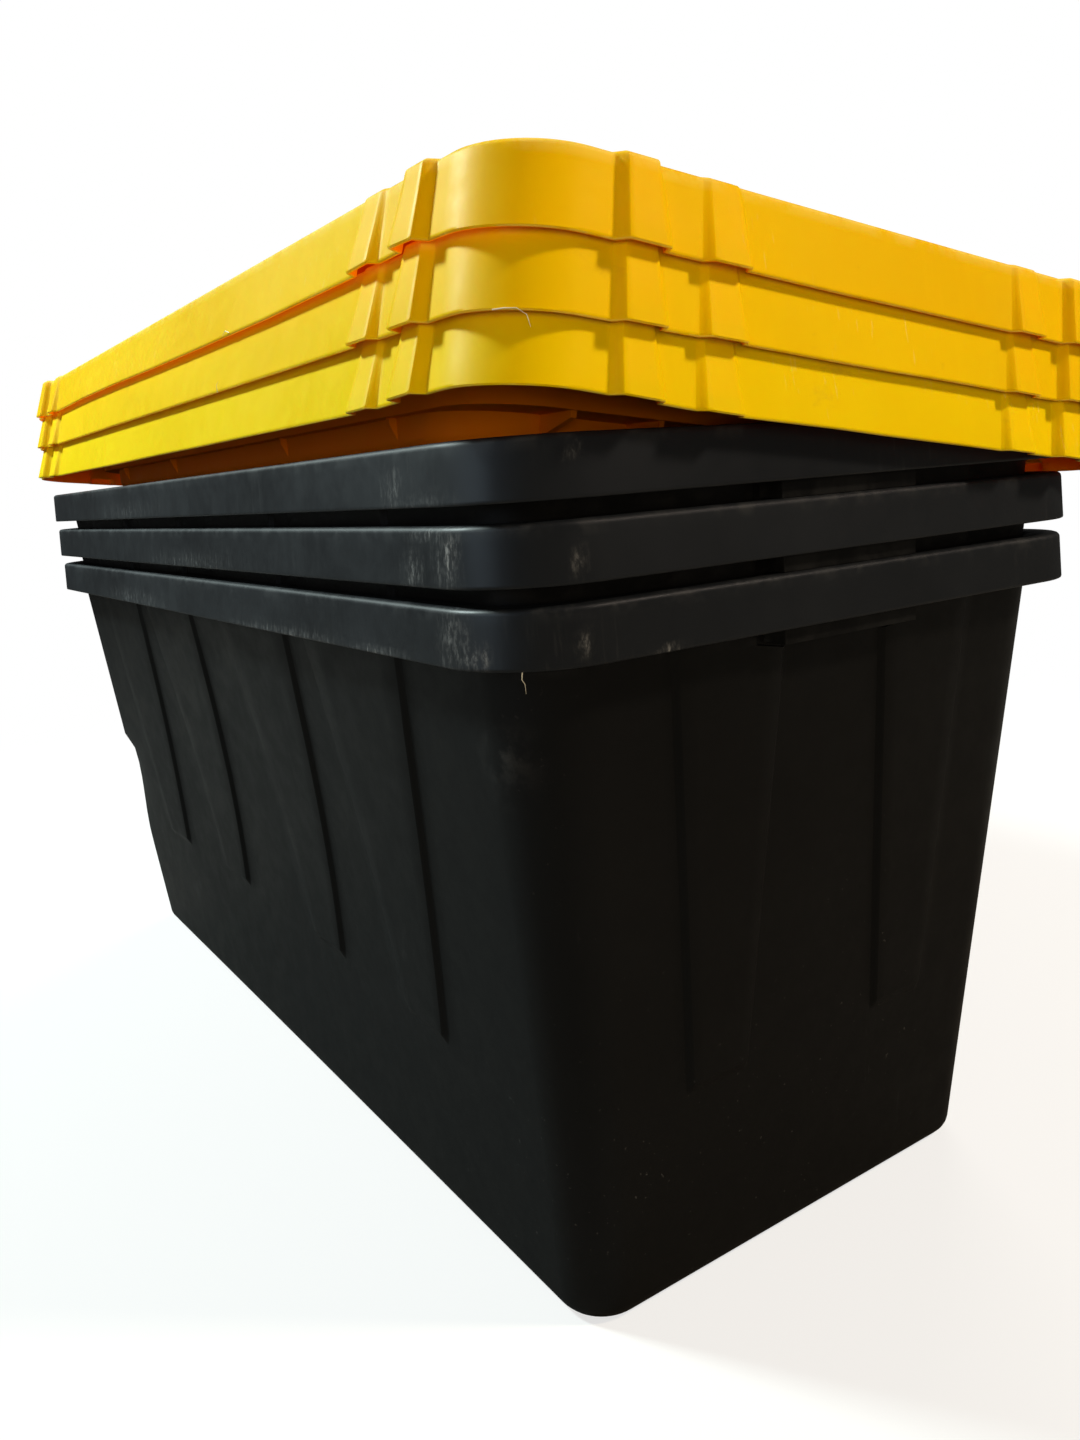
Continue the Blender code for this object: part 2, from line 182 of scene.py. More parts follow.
# Resolution
LIP_GUARD = 0.0012
CORNER_STEPS = 14
FILLET_STEPS = 6
EDGE_STEPS = 5
FILL_STEPS = 6
PLAIN_WALL_STEPS = 6
PANEL_WALL_STEPS = 14
BAND_STEPS = 5
SKIRT_STEPS = 8
FLANK_SHARES = (0.0, 0.12, 0.5, 0.88, 1.0)
FLANK_RISES = (0.0, 0.05, 0.5, 0.95, 1.0)
SHARP_ANGLE = math.radians(50.0)

BIN_NAMES = ("bin_lower", "bin_middle", "bin_upper")
LID_NAMES = ("lid_lower", "lid_middle", "lid_upper")

# Camera, from the photograph's vanishing points and edges
IMAGE_HEIGHT_PX = 1440
FOCAL_PX = 1108.0
CAMERA_AZIMUTH = math.radians(57.0838)
CAMERA_PITCH = math.radians(12.3051)
CAMERA_ROLL = math.radians(4.1163)
CAMERA_EYE = Vector((0.9985, -0.5262, 0.5431))
SENSOR = 36.0

# Lamps, all at one distance from a point on the object: name, heading, size, power, colour, whether
# it lights surfaces, and whether it shows in highlights
LAMP_DISTANCE = 3.3
LAMP_TARGET = Vector((0.2, 0.0, 0.50))
LAMPS = (
    ("left_lamp", (-0.72, -0.69, 0.88), 0.45, 145.0, (0.85, 1.02, 1.00), True, True),
    ("right_lamp", (0.77, 0.64, 0.76), 0.35, 92.0, (1.0, 0.83, 0.60), True, False),
    ("fill_lamp", (0.84, -0.54, 0.12), 1.20, 40.0, (1.0, 0.80, 0.55), True, False),
    ("back_lamp", (-0.62, 0.74, 0.42), 1.80, 60.0, (1.0, 0.95, 0.88), True, False),
    ("left_sheen", (0.05, -1.0, 0.30), 1.60, 18.0, (0.74, 0.95, 1.16), False, True),
    ("right_sheen", (0.77, 0.64, 0.76), 0.60, 20.0, (1.0, 0.84, 0.72), False, True),
)
WORLD_COLOUR = (1.0, 1.0, 1.0, 1.0)
WORLD_LIGHT = 0.06

# Floor: half its side, its colour to the camera and to the object, and how it turns white
FLOOR_HALF = 12.0
FLOOR_COLOUR, FLOOR_BOUNCE = (0.86, 0.86, 0.86, 1.0), (0.14, 0.135, 0.13, 1.0)
FLOOR_WHITE_NEAR, FLOOR_FADE_START, FLOOR_FADE_END = 0.70, 0.7, 2.0

# Sizes that follow from those above
BAND_FOOT = BIN_HEIGHT - RIM_BAND
RIM_HALF = (BIN_LENGTH / 2, BIN_WIDTH / 2)
LUG_FOOT = BIN_HEIGHT + SEAT_GAP - NEST_PITCH
LID_HALF = tuple(half + LID_MARGIN for half in RIM_HALF)
TRAY_HALF = (TRAY_LENGTH / 2, TRAY_WIDTH / 2)
SHELF_HEIGHT = LID_SKIRT + SEAT_GAP - LID_PITCH
SKIRT_DRAFT = math.atan(SKIRT_INSET_TOP / LID_SKIRT)
POCKETS = (
    (-1, OUTER_POCKET_PLACE, OUTER_POCKET_RISE, OUTER_SHARE_TOP),
    (-1, INNER_POCKET_PLACE, INNER_POCKET_RISE, INNER_SHARE_TOP),
    (1, INNER_POCKET_PLACE, INNER_POCKET_RISE, INNER_SHARE_TOP),
    (1, OUTER_POCKET_PLACE, OUTER_POCKET_RISE, OUTER_SHARE_TOP),
)


def eased(share):
    """A smooth step from 0 to 1."""
    share = np.clip(share, 0.0, 1.0)
    return share * share * (3.0 - 2.0 * share)


def grown(half, amount):
    """The plan's half sizes, larger by an amount on every side."""
    return (half[0] + amount, half[1] + amount)


def quarter(steps):
    """Sine and one minus cosine along a quarter turn."""
    for step in range(steps + 1):
        angle = math.pi / 2 * step / steps
        yield math.sin(angle), 1.0 - math.cos(angle)


def between(low, high, count):
    """Even values from low towards high, without the two ends."""
    return [low + (high - low) * i / count for i in range(1, count)]


class Bump:
    """A stretch of a side that is pushed outwards between two rounded flanks."""

    def __init__(self, start, end, flank, push=0.0, lift=0.0):
        self.start = start
        self.end = end
        self.flank = flank
        self.push = push
        self.lift = lift

    def points(self):
        """Distances along the side, with the push and lift at each."""
        steps = list(zip(FLANK_SHARES, FLANK_RISES))
        rising = [(self.start + self.flank * share, rise) for share, rise in steps]
        falling = [(self.end - self.flank * share, rise) for share, rise in reversed(steps)]
        face = [(run, 1.0) for run in between(rising[-1][0], falling[0][0], FILL_STEPS)]
        return [(run, self.push * t, self.lift * t) for run, t in rising + face + falling]


def side_points(straight, bumps):
    """Points along a side between its corners, with the push and lift at each."""
    points = []
    place = -straight
    for bump in bumps:
        points += [(run, 0.0, 0.0) for run in between(place, bump.start, FILL_STEPS)]
        points += bump.points()
        place = bump.end
    return points + [(run, 0.0, 0.0) for run in between(place, straight, FILL_STEPS)]


def plan_ring(half, radius, height, long_bumps, end_bumps):
    """Points round a rectangle with rounded corners, anticlockwise from above."""
    ring = []
    for side in range(4):
        along = side % 2
        turn = side * math.pi / 2
        cos, sin = round(math.cos(turn)), round(math.sin(turn))
        straight, reach = half[along] - radius, half[1 - along]
        line = side_points(straight, (long_bumps, end_bumps)[along])
        for step in range(CORNER_STEPS + 1):
            angle = math.pi / 2 * step / CORNER_STEPS
            line.append((straight + radius * math.sin(angle), radius * (math.cos(angle) - 1.0), 0.0))
        for run, push, lift in line:
            out = reach + push
            ring.append((run * cos + out * sin, run * sin - out * cos, height + lift))
    return ring


class Rings:
    """Rings of a moulding in order, each with its marks from 0 to 1: rim, wear, inside and glow."""

    def __init__(self):
        self.points = []
        self.marks = []

    def add(self, ring, rim=0.0, wear=0.0, inside=0.0, glow=0.0):
        self.points.append(ring)
        self.marks.append((rim, wear, inside, glow))


def wall_half(height):
    """Outer half sizes of the bin's wall at a height."""
    return grown(RIM_HALF, -RIM_OVERHANG - (BAND_FOOT - height) * math.tan(WALL_DRAFT))


def wall_corner(height):
    """Outer corner radius of the bin's wall at a height."""
    return WALL_CORNER_FLOOR + (WALL_CORNER_TOP - WALL_CORNER_FLOOR) * height / BIN_HEIGHT


def panel_span(centre, width_top, width_foot, height):
    """Start and end of a panel's base, which narrows from the rim down to the panel's foot."""
    share = min((BIN_HEIGHT - height) / (BIN_HEIGHT - PANEL_FOOT_HEIGHT), 1.0)
    half = (width_top + (width_foot - width_top) * share) / 2 + PANEL_FLANK
    return centre - half, centre + half


def bin_ring(half, radius, height, rise=0.0, lug=None, lug_lift=0.0):
    """A ring of the bin, with its panels raised and its end lugs pushed out.

    A ring that meets the lugs keeps its points at their flanks, even where they aren't pushed out.
    """
    long_bumps = []
    for centre in LONG_PANEL_CENTRES:
        start, end = panel_span(centre, LONG_PANEL_TOP, LONG_PANEL_FOOT, height)
        long_bumps.append(Bump(start, end, PANEL_FLANK, rise))
    start, end = panel_span(END_PANEL_CENTRE, END_PANEL_TOP, END_PANEL_FOOT, height)
    if lug is not None:
        start = LUG_HALF + LUG_FLANK + LUG_TO_PANEL
    stop = start - LUG_TO_PANEL
    end_bumps = [
        Bump(-end, -start, PANEL_FLANK, rise),
        Bump(-stop, stop, LUG_FLANK, lug or 0.0, lug_lift),
        Bump(start, end, PANEL_FLANK, rise),
    ]
    return plan_ring(half, radius, height, long_bumps, end_bumps)


def panel_rise(height):
    """How far the panels stand out at a height."""
    return PANEL_RISE * float(eased((height - PANEL_FOOT_HEIGHT) / PANEL_FOOT_SLOPE))


def wall_heights(low, high):
    """Heights up the wall, close together at the panels' foot."""
    heights = [low] + between(low, PANEL_FOOT_HEIGHT, PLAIN_WALL_STEPS)
    heights += [PANEL_FOOT_HEIGHT + PANEL_FOOT_SLOPE * t for t in FLANK_SHARES]
    return heights + between(PANEL_FOOT_HEIGHT + PANEL_FOOT_SLOPE, high, PANEL_WALL_STEPS) + [high]


def bin_rings():
    """The bin's rings, from the inner floor over the rim to the outer floor."""
    rings = Rings()
    thick = BIN_WALL / math.cos(WALL_DRAFT)

    def inner(height, inset=0.0):
        half = grown(wall_half(height), -thick - inset)
        return bin_ring(half, wall_corner(height) - thick - inset, height, panel_rise(height))

    for out, up in quarter(FILLET_STEPS):
        rings.add(inner(BIN_WALL + FLOOR_FILLET * up, FLOOR_FILLET * (1.0 - out)), inside=1.0)
    for height in wall_heights(BIN_WALL + 2 * FLOOR_FILLET, BIN_HEIGHT - 2 * MOUTH_EDGE):
        rings.add(inner(height), inside=1.0)
    for out, up in quarter(EDGE_STEPS):
        ring = inner(BIN_HEIGHT - MOUTH_EDGE * (1.0 - out), -MOUTH_EDGE * up)
        rings.add(ring, rim=1.0, wear=0.6, inside=0.5)
    top_half = grown(RIM_HALF, -RIM_LEAN)
    for out, down in quarter(EDGE_STEPS):
        inset = RIM_ROUND * (1.0 - out)
        half = grown(top_half, -inset)
        wear = 1.0 if 0.2 < down < 0.9 else 0.5
        ring = bin_ring(half, RIM_CORNER - inset, BIN_HEIGHT - RIM_ROUND * down)
        rings.add(ring, rim=1.0, wear=wear)
    lean = RIM_LEAN / (RIM_BAND - RIM_ROUND)
    lip = BAND_FOOT + RIM_LIP
    for height in between(BIN_HEIGHT - RIM_ROUND, lip, BAND_STEPS) + [lip + LIP_GUARD, lip]:
        half = grown(top_half, (BIN_HEIGHT - RIM_ROUND - height) * lean)
        rings.add(bin_ring(half, RIM_CORNER, height), rim=1.0)
    for inset, height, wear in (
        (RIM_LIP / 3, BAND_FOOT + RIM_LIP / 3, 0.9),
        (RIM_LIP, BAND_FOOT, 0.6),
        (BIN_WALL, BAND_FOOT, 0.2),
    ):
        ring = bin_ring(grown(RIM_HALF, -inset), RIM_CORNER - inset, height)
        rings.add(ring, rim=1.0, wear=wear)
    under = BIN_HEIGHT - BIN_WALL
    ring = bin_ring(grown(top_half, -BIN_WALL), RIM_CORNER - BIN_WALL, under, lug=0.0)
    rings.add(ring, inside=1.0)
    lug_half = RIM_HALF[0] - BIN_WALL - LUG_TO_BAND - RIM_LEAN

    def outer(height, inset=0.0, lug=None, lift=0.0):
        half = grown(wall_half(height), -inset)
        push = None if lug is None else lug * (lug_half - half[0])
        radius = wall_corner(height) - inset
        return bin_ring(half, radius, height, panel_rise(height), push, lift)

    rings.add(outer(under, lug=1.0), inside=1.0)
    rings.add(outer(LUG_FOOT + LUG_CHAMFER, lug=1.0, lift=-LUG_CHAMFER), wear=0.3)
    rings.add(outer(LUG_FOOT, lug=0.0))
    for height in reversed(wall_heights(2 * FLOOR_FILLET, LUG_FOOT - LUG_CHAMFER)):
        rings.add(outer(height))
    for down, inward in quarter(FILLET_STEPS):
        rings.add(outer(FLOOR_FILLET * (1.0 - down), FLOOR_FILLET * inward), wear=0.5 * down)
    return rings


def skirt_half(height):
    """Outer half sizes of the lid's skirt at a height above its foot."""
    return grown(LID_HALF, -height * math.tan(SKIRT_DRAFT))


def lid_ring(half, radius, height, width, rise=None, lift=0.0):
    """A ring of the lid's skirt, with its stop pockets pushed out.

    The rise runs from 0 at the pockets' top, where they are shallow, to 1 at their foot.
    """

    def bumps(side):
        found = []
        for sign, place, push, top_share in POCKETS:
            centre = sign * (LID_HALF[side] - place)
            depth = 0.0 if rise is None else push * (top_share + (1.0 - top_share) * rise)
            found.append(Bump(centre - width / 2, centre + width / 2, POCKET_FLANK, depth, lift))
        return found

    return plan_ring(half, radius, height, bumps(0), bumps(1))


def tray_ring(half, radius, height, ribs=(0.0, 0.0)):
    """A ring of the lid's tray, with its ribs pushed out on the long sides and on the ends."""
    base = RIB_THICK / 2 + RIB_TAPER

    def bumps(places, push):
        return [Bump(place - base, place + base, RIB_TAPER, push) for place in places]

    long_bumps = bumps(LONG_RIB_PLACES, ribs[0])
    return plan_ring(half, radius, height, long_bumps, bumps(END_RIB_PLACES, ribs[1]))


def tray_half(height):
    """Outer half sizes of the tray's wall at a height above the skirt's foot."""
    return grown(TRAY_HALF, -(LID_SKIRT - height) * math.tan(TRAY_DRAFT))


def above_ledge(half):
    """The tray's half sizes, widened as they are above its ledge."""
    return (half[0] + LEDGE_END, half[1] + LEDGE_SIDE)


def lid_rings():
    """The lid's rings, from the tray's floor over the outer edge and back under to the tray."""
    rings = Rings()
    floor = LID_SKIRT - TRAY_DEPTH
    thick = LID_WALL / math.cos(TRAY_DRAFT)
    ledge_top = LEDGE_HEIGHT + LID_WALL
    for out, up in quarter(FILLET_STEPS):
        height = floor + TRAY_FILLET * up
        inset = thick + TRAY_FILLET * (1.0 - out)
        rings.add(tray_ring(grown(tray_half(height), -inset), TRAY_CORNER - inset, height))
    half = grown(tray_half(ledge_top), -thick)
    rings.add(tray_ring(half, TRAY_CORNER - thick, ledge_top), wear=0.4)
    rings.add(tray_ring(above_ledge(half), TRAY_CORNER - thick, ledge_top))
    for out, up in quarter(EDGE_STEPS):
        height = LID_SKIRT - LID_EDGE * (1.0 - out)
        inset = thick - LID_EDGE * up
        half = above_ledge(grown(tray_half(height), -inset))
        rings.add(tray_ring(half, TRAY_CORNER - inset, height), wear=0.4)
    inset = LID_EDGE + POCKET_ROOT
    half = grown(skirt_half(LID_SKIRT), -inset)
    rings.add(lid_ring(half, LID_CORNER - inset, LID_SKIRT, POCKET_WIDTH_TOP))
    for out, down in quarter(EDGE_STEPS):
        height = LID_SKIRT - LID_EDGE * down
        inset = LID_EDGE * (1.0 - out)
        half = grown(skirt_half(height), -inset)
        ring = lid_ring(half, LID_CORNER - inset, height, POCKET_WIDTH_TOP, 0.0)
        rings.add(ring, rim=1.0, wear=0.8 if 0.1 < down < 0.9 else 0.4)
    heights = between(LID_SKIRT - LID_EDGE, LID_LIP, SKIRT_STEPS)
    for height in heights + [LID_LIP + LIP_GUARD, LID_LIP]:
        share = (LID_SKIRT - LID_EDGE - height) / (LID_SKIRT - LID_EDGE)
        width = POCKET_WIDTH_TOP + (POCKET_WIDTH_FOOT - POCKET_WIDTH_TOP) * share
        rings.add(lid_ring(skirt_half(height), LID_CORNER, height, width, share), rim=1.0)
    half = grown(LID_HALF, -LID_LIP)
    rings.add(lid_ring(half, LID_CORNER - LID_LIP, 0.0, POCKET_WIDTH_FOOT, 1.0), rim=1.0, wear=0.8)
    inner = POCKET_WIDTH_FOOT - 2 * LID_WALL

    def inside(height, rise=None, lift=0.0):
        half = grown(skirt_half(height), -LID_WALL)
        return lid_ring(half, LID_CORNER - LID_WALL, height, inner, rise, lift)

    rings.add(inside(0.0, 1.0), rim=0.5, wear=0.4, inside=1.0, glow=1.0)
    rings.add(inside(SHELF_HEIGHT - POCKET_SHELF_LIP, 1.0, POCKET_SHELF_LIP), inside=1.0, glow=1.0)
    rings.add(inside(SHELF_HEIGHT), inside=1.0, glow=1.0)
    plate = LID_SKIRT - LID_WALL
    rings.add(inside((SHELF_HEIGHT + plate) / 2), inside=1.0, glow=1.0)
    rings.add(inside(plate), inside=1.0, glow=1.0)
    rings.add(tray_ring(above_ledge(tray_half(plate)), TRAY_CORNER, plate), inside=1.0)
    half = tray_half(LEDGE_HEIGHT)
    ribs = (LEDGE_SIDE - RIB_SHORT, LEDGE_END - RIB_SHORT)
    rings.add(tray_ring(above_ledge(half), TRAY_CORNER, LEDGE_HEIGHT), inside=1.0)
    rings.add(tray_ring(half, TRAY_CORNER, LEDGE_HEIGHT, ribs), inside=1.0)
    toe = LEDGE_HEIGHT - RIB_TOE
    rings.add(tray_ring(tray_half(toe), TRAY_CORNER, toe, ribs), inside=1.0)
    foot_height = LID_SKIRT - TRAY_DEPTH - LID_WALL
    for down, inward in quarter(FILLET_STEPS):
        height = foot_height + TRAY_FILLET * (1.0 - down)
        inset = TRAY_FILLET * inward
        ring = tray_ring(grown(tray_half(height), -inset), TRAY_CORNER - inset, height)
        rings.add(ring, inside=1.0)
    return rings


def moulding(name, rings, place, warp, materials, scuffs):
    """One closed object through the rings, warped and set in place, with its marks as attributes.

    The first material is for the body and the last one for the rim.
    """
    count = len(rings.points[0])
    points = np.array(rings.points, dtype=float).reshape(-1, 3)
    points = warp(points)
    points = points @ np.array(place.to_3x3()).T + np.array(place.translation)
    faces = []
    for row in range(len(rings.points) - 1):
        low, high = row * count, (row + 1) * count
        for i in range(count):
            j = (i + 1) % count
            faces.append((low + j, low + i, high + i, high + j))
    last = (len(rings.points) - 1) * count
    faces.append(tuple(range(count)))
    faces.append(tuple(range(last + count - 1, last - 1, -1)))
    mesh = bpy.data.meshes.new(name)
    mesh.from_pydata(points.tolist(), [], faces)
    for column, mark in enumerate(("rim", "wear", "inside", "glow")):
        layer = mesh.attributes.new(mark, "FLOAT", "POINT")
        values = np.repeat([marks[column] for marks in rings.marks], count)
        layer.data.foreach_set("value", values.astype(np.float32))
    layer = mesh.attributes.new("scuff", "FLOAT", "POINT")
    layer.data.foreach_set("value", scuff_marks(points, scuffs).astype(np.float32))
    for material in materials:
        mesh.materials.append(material)
    on_rim = [marks[0] > 0.5 for marks in rings.marks]
    rows = [int(low and high) * (len(materials) - 1) for low, high in zip(on_rim, on_rim[1:])]
    mesh.polygons.foreach_set("material_index", np.repeat(rows, count).tolist() + [0, 0])
    mesh.shade_smooth()
    for floor in mesh.polygons[-2:]:
        floor.use_smooth = False
    mesh.set_sharp_from_angle(angle=SHARP_ANGLE)
    item = bpy.data.objects.new(name, mesh)
    bpy.context.scene.collection.objects.link(item)
    return item


def scuff_marks(points, scuffs):
    """How much each point is scuffed: soft spots, each with its place, reach and strength."""
    marks = np.zeros(len(points))
    for place, reach, strength in scuffs:
        away = (points - np.array(place)) / np.array(reach)
        marks = np.maximum(marks, strength * np.exp(-(away ** 2).sum(axis=1)))
    return marks


def ripple(points, scale, size, seed):
    """Smooth noise at each point, from minus to plus size."""
    start = Vector((seed, 0, 0))
    return np.array([noise.noise(Vector(point) * scale + start) for point in points]) * size


def bin_warp(level):
    """A bin's warp: bowed long walls, one dent and a slightly wavy rim, all in world heights."""

    def warp(points):
        points = points.copy()
        points[:, 2] += level * NEST_PITCH
        x, y, z = points.T
        along = np.clip(np.cos(math.pi * (x - BOW_MIDDLE)), 0.0, 1.0) ** BOW_POWER
        up = np.sin(math.pi * np.clip(z / BOW_HEIGHT, 0.0, 1.0))
        near_wall = eased((np.abs(y) - BOW_START) / BOW_FADE)
        shift_y = -np.sign(y) * WALL_BOW * along * up * near_wall
        below = eased((DENT_PLACE.z + DENT_ABOVE - z) / DENT_EDGE)
        below = below * eased((z - DENT_PLACE.z + DENT_BELOW) / DENT_BELOW)
        reach = np.exp(-((x - DENT_PLACE.x) / DENT_REACH) ** 2 - ((y - DENT_PLACE.y) / DENT_REACH) ** 2)
        dent = DENT_DEPTH * below * reach
        on_end = np.abs(x) > RIM_HALF[0] - RIM_OVERHANG
        on_side = np.abs(y) > RIM_HALF[1] - RIM_OVERHANG
        wave = ripple(points, RIM_RIPPLE_SCALE, RIM_RIPPLE, level * RIM_SEED_STEP) - RIM_RIPPLE
        points[:, 0] += DENT_SHARE_LENGTHWISE * dent + np.sign(x) * wave * on_end
        points[:, 1] += shift_y + dent + np.sign(y) * wave * on_side
        points[:, 2] -= level * NEST_PITCH
        return points

    return warp


def lid_warp(level):
    """A lid's warp: a wavy skirt edge that curls up a little at the near corner."""

    def warp(points):
        points = points.copy()
        x, y, z = points.T
        top = CURL_SHARE_OF_SKIRT * LID_SKIRT
        low = eased((top - z) / top)
        skirt = (np.abs(x) > LID_HALF[0] - SKIRT_REACH) | (np.abs(y) > LID_HALF[1] - SKIRT_REACH)
        corner = eased((x - CURL_START[0]) / CURL_FADE[0]) * eased((-y - CURL_START[1]) / CURL_FADE[1])
        curl = CORNER_CURL * corner * (1.0 if level == 0 else NESTED_CURL_SHARE)
        near = eased((LID_HALF[1] - y) / SKIRT_RIPPLE_FADE)
        seed = SKIRT_SEED + level * SKIRT_SEED_STEP
        wave = near * (ripple(points, SKIRT_RIPPLE_SCALE, SKIRT_RIPPLE, seed) + SKIRT_RIPPLE)
        if level == len(LID_NAMES) - 1:
            for place, reach, lift in GAP_PLACES:
                curl += lift * np.exp(-((x - place) / reach) ** 2) * eased(-y / GAP_FADE)
        points[:, 2] += np.where(skirt, low * (curl + wave), 0.0)
        return points

    return warp


def lid_place(level):
    """The lid's matrix: its foot plane tipped so that its plate rests on the far rim's edge."""
    sin, cos = math.sin(LID_TILT), math.cos(LID_TILT)
    top = BIN_HEIGHT + (len(BIN_NAMES) - 1) * NEST_PITCH
    edge_y = RIM_HALF[1] - RIM_LEAN - RIM_EDGE
    rise = (RIM_EDGE + SEAT_GAP - LID_SKIRT + LID_WALL - sin * (LID_SHIFT - edge_y)) / cos
    seat = Vector((0.0, LID_SHIFT, top - RIM_EDGE + rise))
    upright = Vector((0.0, sin, cos))
    return Matrix.Translation(seat + upright * level * LID_PITCH) @ Matrix.Rotation(-LID_TILT, 4, "X")


def shell(name, points, faces, material):
    """A flat-shaded object from points and faces."""
    mesh = bpy.data.meshes.new(name)
    mesh.from_pydata([tuple(point) for point in points], [], faces)
    mesh.materials.append(material)
    item = bpy.data.objects.new(name, mesh)
    bpy.context.scene.collection.objects.link(item)
    return item


def thread(name, path, material):
    """A thin hair of moulding flash along a path, with a fine end."""
    points, faces = [], []
    path = [Vector(point) for point in path]
    for i, point in enumerate(path):
        ahead = (path[min(i + 1, len(path) - 1)] - path[max(i - 1, 0)]).normalized()
        across = ahead.orthogonal().normalized()
        over = ahead.cross(across)
        size = FLASH_RADIUS * (1.0 - FLASH_TAPER * i / (len(path) - 1))
        for step in range(FLASH_SIDES):
            angle = 2 * math.pi * step / FLASH_SIDES
            points.append(point + size * (math.cos(angle) * across + math.sin(angle) * over))
    for row in range(len(path) - 1):
        for i in range(FLASH_SIDES):
            j = (i + 1) % FLASH_SIDES
            low, high = row * FLASH_SIDES, (row + 1) * FLASH_SIDES
            faces.append((low + i, low + j, high + j, high + i))
    faces.append(tuple(reversed(range(FLASH_SIDES))))
    faces.append(tuple(range(len(points) - FLASH_SIDES, len(points))))
    return shell(name, points, faces, material)


class Nodes:
    """Short calls for building a material's nodes."""

    def __init__(self, name):
        self.material = bpy.data.materials.new(name)
        self.material.use_nodes = True
        self.tree = self.material.node_tree
        self.shader = self.tree.nodes["Principled BSDF"]
        self.place = self.node("ShaderNodeTexCoord").outputs["Object"]

    def node(self, kind, **settings):
        made = self.tree.nodes.new(kind)
        for key, value in settings.items():
            setattr(made, key, value)
        return made

    def link(self, source, target):
        self.tree.links.new(source, target)

    def put(self, value, socket):
        """Links an output to the socket, or sets the socket to a plain value."""
        if isinstance(value, bpy.types.NodeSocket):
            self.link(value, socket)
        else:
            socket.default_value = value

    def noise(self, scale, stretch=(1.0, 1.0, 1.0), detail=4.0, rough=0.55, offset=(0.0, 0.0, 0.0)):
        mapping = self.node("ShaderNodeMapping")
        mapping.inputs["Scale"].default_value = stretch
        mapping.inputs["Location"].default_value = offset
        self.link(self.place, mapping.inputs["Vector"])
        texture = self.node("ShaderNodeTexNoise")
        texture.inputs["Scale"].default_value = scale
        texture.inputs["Detail"].default_value = detail
        texture.inputs["Roughness"].default_value = rough
        self.link(mapping.outputs["Vector"], texture.inputs["Vector"])
        return texture.outputs["Fac"]

    def ramp(self, value, low, high, to_low=0.0, to_high=1.0):
        """The value, mapped smoothly from one range to another."""
        made = self.node("ShaderNodeMapRange", interpolation_type="SMOOTHSTEP")
        for key, number in (("From Min", low), ("From Max", high), ("To Min", to_low), ("To Max", to_high)):
            made.inputs[key].default_value = number
        self.link(value, made.inputs["Value"])
        return made.outputs["Result"]

    def maths(self, operation, first, second):
        made = self.node("ShaderNodeMath", operation=operation)
        self.put(first, made.inputs[0])
        self.put(second, made.inputs[1])
        return made.outputs[0]

    def separate(self, axis):
        made = self.node("ShaderNodeSeparateXYZ")
        self.link(self.place, made.inputs[0])
        return made.outputs[axis]

    def mark(self, name):
        return self.node("ShaderNodeAttribute", attribute_name=name).outputs["Fac"]

    def mix(self, share, first, second):
        made = self.node("ShaderNodeMix", data_type="RGBA")
        self.put(share, made.inputs["Factor"])
        self.put(first, made.inputs[6])
        self.put(second, made.inputs[7])
        return made.outputs[2]

    def bump(self, height, strength, distance, normal=None):
        made = self.node("ShaderNodeBump")
        made.inputs["Strength"].default_value = strength
        made.inputs["Distance"].default_value = distance
        self.link(height, made.inputs["Height"])
        if normal:
            self.link(normal, made.inputs["Normal"])
        return made.outputs["Normal"]


def black_wall(name, seed):
    """Dull black plastic with a fine grain, cloudy handling marks, scratches and dust."""
    n = Nodes(name)
    offset = (seed, seed * 0.7, 0.0)
    cloud = n.noise(3.2, detail=5.0, offset=offset)
    fine = n.noise(38.0, detail=6.0, rough=0.65, offset=offset)
    speck = n.noise(230.0, detail=2.0, offset=offset)
    scratch = n.noise(1.0, (90.0, 90.0, 4.0), detail=4.0, rough=0.7, offset=(seed, 2.0, 0.4))
    wear, scuff = n.mark("wear"), n.mark("scuff")
    dust = n.maths("MULTIPLY", n.ramp(speck, 0.70, 0.77), n.ramp(cloud, 0.48, 0.72, 0.0, 0.3))
    rubbed = n.maths("MULTIPLY", wear, n.ramp(fine, 0.42, 0.62, 0.0, 0.10))
    scuffed = n.maths("MULTIPLY", scuff, n.ramp(fine, 0.48, 0.66, 0.0, 0.5))
    scratched = n.maths("MULTIPLY", n.ramp(scratch, 0.66, 0.76), n.ramp(cloud, 0.5, 0.7, 0.0, 0.10))
    colour = n.mix(n.ramp(cloud, 0.3, 0.7), WALL_DARK, WALL_LIGHT)
    colour = n.mix(n.maths("MAXIMUM", rubbed, scratched), colour, WALL_WORN)
    colour = n.mix(n.maths("MAXIMUM", dust, scuffed), colour, WALL_DUST)
    n.link(colour, n.shader.inputs["Base Color"])
    gloss = n.maths("ADD", n.ramp(cloud, 0.25, 0.75, 0.40, 0.54), n.ramp(fine, 0.3, 0.7, -0.04, 0.05))
    n.link(gloss, n.shader.inputs["Roughness"])
    n.shader.inputs["Specular IOR Level"].default_value = WALL_SPECULAR
    normal = n.bump(n.noise(1500.0, detail=2.0), 0.12, 0.0002)
    normal = n.bump(n.noise(9.0, detail=3.0, offset=offset), 0.10, 0.006, normal)
    n.link(normal, n.shader.inputs["Normal"])
    return n.material


